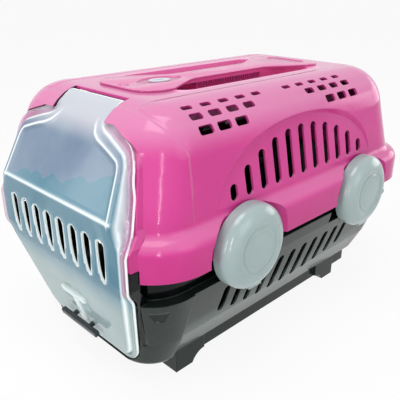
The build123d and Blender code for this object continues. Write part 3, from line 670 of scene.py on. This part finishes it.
def make_handle():
    handle = upright_prism("carry_handle_top", handle_outline(), PLATE_FOOT, PLATE_TOP)
    under = [(x * 0.9, y) for x, y in rounded_polygon(UNDER_CORNERS)]
    cut(handle, [upright_prism("under", under, 300, 304.5)], "UNION")
    boat = arc_points((-36, BADGE_Y), 52, -42, 42, 13) + arc_points((36, BADGE_Y), 52, 138, 222, 13)
    boat = about_badge(boat, 0.95, 0.86)
    mouth = about_badge(boat, 1.1, 1.06)
    cut(handle, [prism("boat", [(x, y, BOAT_FLOOR) for x, y in boat], [(x, y, CUT_TOP) for x, y in mouth])])
    cut(handle, [upright_prism("rear_hollow", rounded_polygon(REAR_CORNERS), HOLLOW_FLOOR, CUT_TOP)])
    ring, core = [arc_points(BOSS_CENTRE, radius, 0, 345, 24) for radius in (5.2, 3.9)]
    groove = upright_prism("boss_ring", ring, HOLLOW_FLOOR, CUT_TOP)
    cut(groove, [upright_prism("boss_core", core, HOLLOW_FLOOR - 1, CUT_TOP + 1)])
    cut(handle, [groove])
    soften(handle, 0.6, 40)
    smooth_shade(handle, 40)
    return handle


BADGE_RADII, BADGE_SLOT_RADII = (9.6, 13.4), (2.6, 7.4)


def make_badge():
    badge = upright_prism("badge_ring", ellipse_points((0, BADGE_Y), *BADGE_RADII, 40), 304.6, 305.9)
    hole = ellipse_points((0, BADGE_Y), *BADGE_SLOT_RADII, 32)
    cut(badge, [upright_prism("badge_slot", hole, HOLLOW_FLOOR, CUT_TOP)])
    soften(badge, 0.4, 40)
    smooth_shade(badge, 40)
    return badge


# The three parts of a place or a direction
def marks(n, place):
    split = n.add("ShaderNodeSeparateXYZ")
    n.link(place, split.inputs[0])
    return split.outputs


def face_normal(n):
    return marks(n, n.add("ShaderNodeNewGeometry").outputs["Normal"])


# 1 on the faces that look towards the axis of the carrier at a height
def inner_faces(n, normal, x, z, middle):
    upwards = n.math("MULTIPLY", normal[2], n.math("SUBTRACT", z, middle))
    return n.ramp(n.math("MULTIPLY_ADD", normal[0], x, upwards), -0.030, -0.012, 1.0, 0.0)


# 1 within about a third of a width from a line, fading to 0 at the width
def line_mask(n, distance, width):
    return n.ramp(n.math("ABSOLUTE", distance), width * 0.35, width, 1.0, 0.0)


# Colour and relief patterns, from the place on the object in metres
def shell_pattern(n, place, base):
    x, y, z = marks(n, place)
    across = n.math("ABSOLUTE", x)
    # front hoop: its seam runs up the side and bends forwards over the roof
    seam = n.math("ADD", y, n.ramp(z, 0.262, 0.303, 0.172, 0.191))
    seam = n.math("SUBTRACT", seam, n.ramp(across, 0.040, 0.100, 0.004, 0.0))
    upper = n.ramp(z, 0.199, 0.210)
    step = n.math("MULTIPLY", n.ramp(seam, -0.0012, 0.0018, 1.0, 0.0), upper)
    # crease on each side of the roof, behind the hoop
    crease = n.ramp(across, 0.0715, 0.0755, 0.0, 1.0)
    crease = n.math("MULTIPLY", crease, n.ramp(z, 0.288, 0.297))
    crease = n.math("MULTIPLY", crease, n.ramp(seam, 0.002, 0.006))
    relief = n.math("MULTIPLY_ADD", step, 1.0, n.math("MULTIPLY", crease, 1.1))
    # painted sheen makes the plastic paler where it faces up, and painted shade makes it deeper low on the
    # sides
    normal = face_normal(n)
    raised = n.math("MULTIPLY", n.ramp(normal[2], 0.10, 0.75), n.ramp(z, 0.150, 0.290, 0.35, 1.0))
    base = n.mix(n.math("MULTIPLY", raised, 0.60), base, rgb(212, 150, 184))
    painted_low_shade = n.math("MULTIPLY", n.ramp(z, 0.125, 0.240, 1.0, 0.0), n.ramp(normal[2], -0.1, 0.35, 1.0, 0.0))
    base = n.mix(n.math("MULTIPLY", painted_low_shade, 0.70), base, rgb(178, 34, 112))
    # painted highlight: a pale line along the hoop's seam
    light = n.math("MULTIPLY", line_mask(n, seam, 0.0016), upper)
    base = n.mix(n.math("MULTIPLY", light, 0.15), base, rgb(250, 168, 208))
    # painted shade darkens the bare inner faces, apart from the well under the handle, which gets painted
    # light instead
    painted_inner_shade = inner_faces(n, normal, x, z, 0.2)
    well = n.math("MULTIPLY", n.ramp(across, 0.060, 0.062, 1.0, 0.0), n.ramp(z, 0.2645, 0.2655))
    well = n.math("MULTIPLY", well, n.ramp(n.math("ABSOLUTE", y), 0.119, 0.121, 1.0, 0.0))
    painted_inner_shade = n.math("MULTIPLY", painted_inner_shade, n.math("SUBTRACT", 1.0, well))
    base = n.mix(n.math("MULTIPLY", painted_inner_shade, 0.94), base, rgb(34, 6, 20))
    # painted light: the well under the handle is painted a pale pink
    return n.mix(n.math("MULTIPLY", well, 0.9), base, rgb(250, 140, 200)), relief


def tub_pattern(n, place, base):
    x, y, z = marks(n, place)
    across = n.math("ABSOLUTE", x)
    normal = face_normal(n)
    flat = n.ramp(normal[2], 0.6, 0.9)
    # painted shade: the upright neck under the lip is painted black, the ledge at its foot stays grey
    neck = n.math("MULTIPLY", n.ramp(z, 0.1252, 0.127), n.math("SUBTRACT", 1.0, flat))
    sill = n.math("MULTIPLY", n.ramp(z, 0.1405, 0.1415, 1.0, 0.0), n.ramp(across, 0.123, 0.125))
    neck = n.math("MULTIPLY", neck, n.math("SUBTRACT", 1.0, sill))
    base = n.mix(neck, base, rgb(6, 8, 10))
    # painted reflection of the floor makes the lower side wall paler than the front pillar, and painted
    # shade darkens the rear end
    low = n.band(z, 0.026, 0.060, 0.064, 0.085)
    side = n.band(y, -0.178, -0.166, 0.150, 0.200)
    base = n.mix(n.math("MULTIPLY", n.math("MULTIPLY", low, side), 0.50), base, rgb(112, 126, 118))
    rear = n.ramp(y, 0.165, 0.215)
    base = n.mix(n.math("MULTIPLY", rear, 0.75), base, rgb(34, 38, 36))
    # painted shade darkens the inner faces
    painted_inner_shade = inner_faces(n, normal, x, z, 0.09)
    base = n.mix(n.math("MULTIPLY", painted_inner_shade, 0.85), base, rgb(14, 16, 16))
    # drip groove down each front pillar, beside the door, and a small pocket on its corner, both a shallow
    # relief filled with painted shade
    front = n.ramp(y, -0.192, -0.188, 1.0, 0.0)
    groove = n.math("SUBTRACT", across, n.math("MULTIPLY_ADD", z, 0.246, 0.0792))
    groove = n.math("MULTIPLY", line_mask(n, groove, 0.0028), front)
    groove = n.math("MULTIPLY", groove, n.band(z, 0.060, 0.064, 0.122, 0.125))
    along = n.math("ABSOLUTE", n.math("ADD", n.math("ADD", across, y), 0.087))
    widening = n.ramp(z, 0.102, 0.114, 0.006, 0.014, smooth=False)
    pocket = n.ramp(n.math("SUBTRACT", along, widening), -0.0005, 0.0005, 1.0, 0.0)
    pocket = n.math("MULTIPLY", pocket, n.band(z, 0.101, 0.103, 0.1140, 0.1155))
    groove = n.math("MAXIMUM", groove, n.math("MULTIPLY", pocket, front))
    # painted shade in the groove and the pocket
    base = n.mix(groove, base, rgb(5, 7, 8))
    return base, n.math("MULTIPLY", groove, -1.5)


# Painted shade in the hollows of the handle's top makes them a darker pink than its raised face
def hollow_shade_pattern(n, place, base):
    z = marks(n, place)[2]
    low = n.band(z, 0.3038, 0.3046, 0.3050, 0.3056)
    return n.mix(n.math("MULTIPLY", low, 0.75), base, rgb(168, 46, 112)), None


# Fine ribs across the grip, a rib each 4 mm, with painted shade in the valleys between them
RIB_PITCH = 0.004


def rib_pattern(n, place, base):
    _, y, z = marks(n, place)
    ribs = n.math("SINE", n.math("MULTIPLY", n.math("MULTIPLY_ADD", z, 0.35, y), 2 * math.pi / RIB_PITCH))
    # painted shade in the valleys between the ribs
    valley_shade = n.ramp(ribs, -0.4, 0.6, 0.6, 0.0)
    return n.mix(valley_shade, base, rgb(88, 22, 60)), n.math("MULTIPLY", ribs, 0.3)


pink = plastic("shell_pink", rgb(204, 64, 142), rgb(197, 56, 135), rgb(240, 150, 194), rough=0.13,
               wave=0.10, ior=1.33, pattern=shell_pattern)
handle_pink = plastic("handle_pink", rgb(212, 98, 158), rgb(206, 90, 151), rgb(246, 168, 206), rough=0.2,
                      pattern=hollow_shade_pattern)
grey = plastic("tub_grey", rgb(36, 46, 42), rgb(30, 39, 36), rgb(120, 134, 128), rough=0.12, ior=1.3,
               pattern=tub_pattern)
dark_pink = plastic("grip_pink", rgb(190, 60, 132), rgb(180, 50, 122), rgb(224, 120, 172), rough=0.3,
                    pattern=rib_pattern)
white = plastic("wheel_white", rgb(154, 172, 171), rgb(146, 163, 164), rgb(192, 205, 203), rough=0.17,
                wave=0.08, coat=0.1)
charcoal = plastic("latch_charcoal", rgb(46, 50, 54), rgb(38, 42, 46), rgb(92, 98, 102), rough=0.32)
pearl = plastic("badge_pearl", rgb(196, 200, 210), rgb(180, 186, 200), rgb(226, 228, 232), rough=0.16)
pin_white = plastic("pin_white", rgb(180, 188, 190), rgb(168, 176, 180), rgb(210, 214, 216), rough=0.35)
steel = plastic("screw_steel", rgb(170, 172, 176), rgb(150, 152, 158), rgb(205, 206, 210), rough=0.3,
                metallic=1.0)


# Clear moulded plastic: tinted window with a painted reflection, frosted foot, and painted highlights with
# a painted glow along its lines and its cut edges
def door_plastic(name, marked):
    material, n, shader = plastic_nodes(name, rgb(186, 206, 210), rgb(176, 198, 206), rgb(236, 244, 246),
                                        rough=0.1, wave=0.16, gloss=0.4)
    tree = material.node_tree
    place = n.add("ShaderNodeTexCoord").outputs["Object"]
    x, _, z = marks(n, place)
    tint = n.mix(n.ramp(z, 0.100, 0.150), rgb(152, 172, 172), rgb(70, 126, 148))
    # painted reflection: lavender above a wavy line across the window
    slant = n.math("MULTIPLY_ADD", x, -0.16, z)
    wander = n.math("MULTIPLY_ADD", n.noise(place, 26.0, 2.0, 0.5), 0.045, slant)
    tint = n.mix(n.ramp(wander, 0.2500, 0.2520), tint, rgb(106, 128, 154))
    tint = n.mix(n.ramp(z, 0.262, 0.286), tint, rgb(196, 196, 206))
    mottle = n.ramp(n.noise(place, 14.0, 3.0, 0.5), 0.3, 0.7)
    tint = n.mix(n.math("MULTIPLY", mottle, 0.18), tint, rgb(196, 214, 222))
    frost = n.ramp(z, 0.132, 0.140, 0.93, 0.80)
    frost = n.math("ADD", frost, n.ramp(z, 0.262, 0.290, 0.0, 0.10))
    if marked:
        clear = n.add("ShaderNodeAttribute", attribute_name="clear").outputs["Fac"]
        line = n.add("ShaderNodeAttribute", attribute_name="line").outputs["Fac"]
        frost = n.math("MULTIPLY_ADD", clear, 0.10, frost)
        scoop = n.add("ShaderNodeAttribute", attribute_name="scoop").outputs["Fac"]
        # painted shade, darker deeper in the scoop
        tint = n.mix(n.math("MULTIPLY", scoop, 0.6), tint, rgb(96, 130, 142))
        rim = n.add("ShaderNodeAttribute", attribute_name="rim").outputs["Fac"]
        # the flange is clear, so it takes the pink of the shell behind it
        over_shell = n.math("MULTIPLY", rim, n.ramp(z, 0.134, 0.142))
        over_shell = n.math("MULTIPLY", over_shell, n.ramp(z, 0.270, 0.290, 1.0, 0.0))
        tint = n.mix(n.math("MULTIPLY", over_shell, 0.75), tint, rgb(222, 150, 190))
        frost = n.math("SUBTRACT", frost, n.math("MULTIPLY", over_shell, 0.35))
    else:
        # painted highlight and glow spread faintly over the whole piece
        line = n.ramp(mottle, 0.0, 1.0, 0.40, 0.50)
    # painted highlight: white along the lines
    tint = n.mix(n.math("MULTIPLY", line, 0.9), tint, rgb(240, 246, 246))
    alpha = n.math("MAXIMUM", frost, n.math("MULTIPLY", line, 0.95), clamp=True)
    for link in list(shader.inputs["Base Color"].links):
        tree.links.remove(link)
    n.link(tint, shader.inputs["Base Color"])
    n.link(alpha, shader.inputs["Alpha"])
    # painted glow: the lines and cut edges emit light, standing for the light that clear plastic gathers at
    # its edges
    n.link(n.mix(line, rgb(0, 0, 0), rgb(236, 244, 240)), shader.inputs["Emission Color"])
    shader.inputs["Emission Strength"].default_value = 0.4
    return material


door_clear = door_plastic("door_clear", True)
rest_clear = door_plastic("rest_clear", False)

dress(nodes["top_shell"], pink)
dress(nodes["carry_handle"], handle_pink)
dress(nodes["handle_grip"], dark_pink)
dress(nodes["base_tub"], grey)
dress(nodes["front_door"], rest_clear)
dress(nodes["latch_bar"], charcoal)
dress(nodes["handle_badge"], pearl)
dress(nodes["handle_screws"], steel)
for name in nodes:
    if "pin" in name:
        dress(nodes[name], pin_white)
    if "wheel_clip" in name:
        dress(nodes[name], white)

door = make_door()
mark_door(door)
fixed(door, door_clear, "door", "front_door", slot="door_plastic")

# Hinge barrel: (y, z) of the door's pivot, and a profile of (x, radius)
DOOR_PIVOT = (-178.244, 296.204)
BARREL_PROFILE = [(-44.5, 2.6), (-44.5, 4.4), (-43.9, 5), (43.9, 5), (44.5, 4.4), (44.5, 2.6)]
barrel = lathe("door_barrel", BARREL_PROFILE, DOOR_PIVOT, 1, 48)
smooth_shade(barrel)
fixed(barrel, rest_clear, "door", slot="door_plastic")

# Thumb rest and its stem: name, outline as (across, up), ends and edge radius
THUMB_BLOCKS = (
    ("thumb_rest", [(-22, 34.5), (22, 34.5), (22, 42.5), (-22, 42.5)], (-9, 3), 1.0),
    ("thumb_stem", [(-5.5, -3), (5.5, -3), (5.0, 34.5), (-5.0, 34.5)], (-2.0, 1.8), 0.8),
)
for name, outline, ends, edge in THUMB_BLOCKS:
    block = slope_block(name, outline, ends)
    soften(block, edge)
    smooth_shade(block)
    fixed(block, rest_clear, "door", slot="door_plastic")

FRONT_CLIP_Y, REAR_CLIP_Y = -105, 112
for clip, side, centre_y in (("front_left", -1, FRONT_CLIP_Y), ("front_right", 1, FRONT_CLIP_Y),
                             ("rear_left", -1, REAR_CLIP_Y), ("rear_right", 1, REAR_CLIP_Y)):
    wheel = make_wheel("wheel_" + clip, side, centre_y)
    fixed(wheel, white, "clip_" + clip, "wheel_clip_" + clip, slot="wheel_plastic")

# Thin webs that close the tub's neck behind the door, one on each side. The left one is mirrored
# without turning its faces round, so they look inwards.
WEB_CORNERS = [(98, -229), (102, -229), (103, -214), (99, -214)]
WEB_FOOT, WEB_TOP = 134, 168
for name, side in (("left", -1), ("right", 1)):
    corners = [(side * x, y) for x, y in WEB_CORNERS]
    web = upright_prism("neck_web_" + name, corners, WEB_FOOT, WEB_TOP)
    smooth_shade(web)
    fixed(web, grey, "carrier", slot="tub_plastic")

fixed(make_handle(), handle_pink, "carrier", "carry_handle", slot="shell_plastic")
fixed(make_badge(), pearl, "carrier", "handle_badge", slot="badge_plastic")


# Share of the rays that see the plain white of the background
def white_rays(n, share):
    path = n.add("ShaderNodeLightPath")
    seen = n.math("MAXIMUM", path.outputs["Is Camera Ray"], path.outputs["Is Glossy Ray"])
    seen = n.math("MAXIMUM", seen, path.outputs["Is Transmission Ray"])
    return n.math("MULTIPLY", seen, share)


# Shows those rays the second of two shaders, and all others the first
def mix_for_rays(n, share, first, second, output):
    mixed = n.add("ShaderNodeMixShader")
    n.link(white_rays(n, share), mixed.inputs[0])
    n.link(first.outputs[0], mixed.inputs[1])
    n.link(second.outputs[0], mixed.inputs[2])
    out = n.add(output)
    n.link(mixed.outputs[0], out.inputs["Surface"])


def clear_tree(owner):
    owner.use_nodes = True
    owner.node_tree.nodes.clear()
    return Nodes(owner.node_tree)


FLOOR_HALF = 20
FLOOR_GREY = 0.86
FLOOR_WHITE_SHARE = 0.9
WORLD_STRENGTH = 0.55


# Pale floor, nearly white to the camera
def add_floor():
    mesh = bpy.data.meshes.new("floor")
    half = FLOOR_HALF
    mesh.from_pydata([(-half, -half, 0), (half, -half, 0), (half, half, 0), (-half, half, 0)], [],
                     [(0, 1, 2, 3)])
    floor = bpy.data.objects.new("floor", mesh)
    scene.collection.objects.link(floor)
    material = bpy.data.materials.new("floor_white")
    n = clear_tree(material)
    shade = n.add("ShaderNodeBsdfDiffuse")
    shade.inputs["Color"].default_value = (FLOOR_GREY, FLOOR_GREY, FLOOR_GREY, 1)
    glow = n.add("ShaderNodeEmission")
    glow.inputs["Color"].default_value = (1, 1, 1, 1)
    mix_for_rays(n, FLOOR_WHITE_SHARE, shade, glow, "ShaderNodeOutputMaterial")
    mesh.materials.append(material)


# Even light from all round, white to the camera
def add_world():
    world = bpy.data.worlds.new("studio")
    scene.world = world
    n = clear_tree(world)
    light, white_back = n.add("ShaderNodeBackground"), n.add("ShaderNodeBackground")
    for back in (light, white_back):
        back.inputs["Color"].default_value = (1, 1, 1, 1)
    light.inputs["Strength"].default_value = WORLD_STRENGTH
    mix_for_rays(n, 1.0, light, white_back, "ShaderNodeOutputWorld")


add_camera()
add_floor()
add_world()

add_light("overhead", (0.15, -0.35, 1.5), (0, 0, 0.15), (0.8, 0.8), 10.0)
add_light("front_left", (-0.9, -1.3, 0.7), (0, -0.1, 0.15), (0.8, 0.8), 3.6)
add_light("right", (1.5, 0.1, 0.7), (0, 0, 0.15), (0.8, 0.8), 3.0)
add_light("strip_corner", (0.98, -0.86, 0.34), (0.1, -0.2, 0.2), (0.03, 0.60), 2.0)
add_light("strip_front", (0.28, -1.25, 0.32), (0.05, -0.2, 0.2), (0.05, 0.56), 2.4)
add_light("rear_fill", (0.5, 1.6, 0.45), (0, 0, 0.15), (0.9, 0.6), 4.0)

scene.view_settings.view_transform = "Standard"
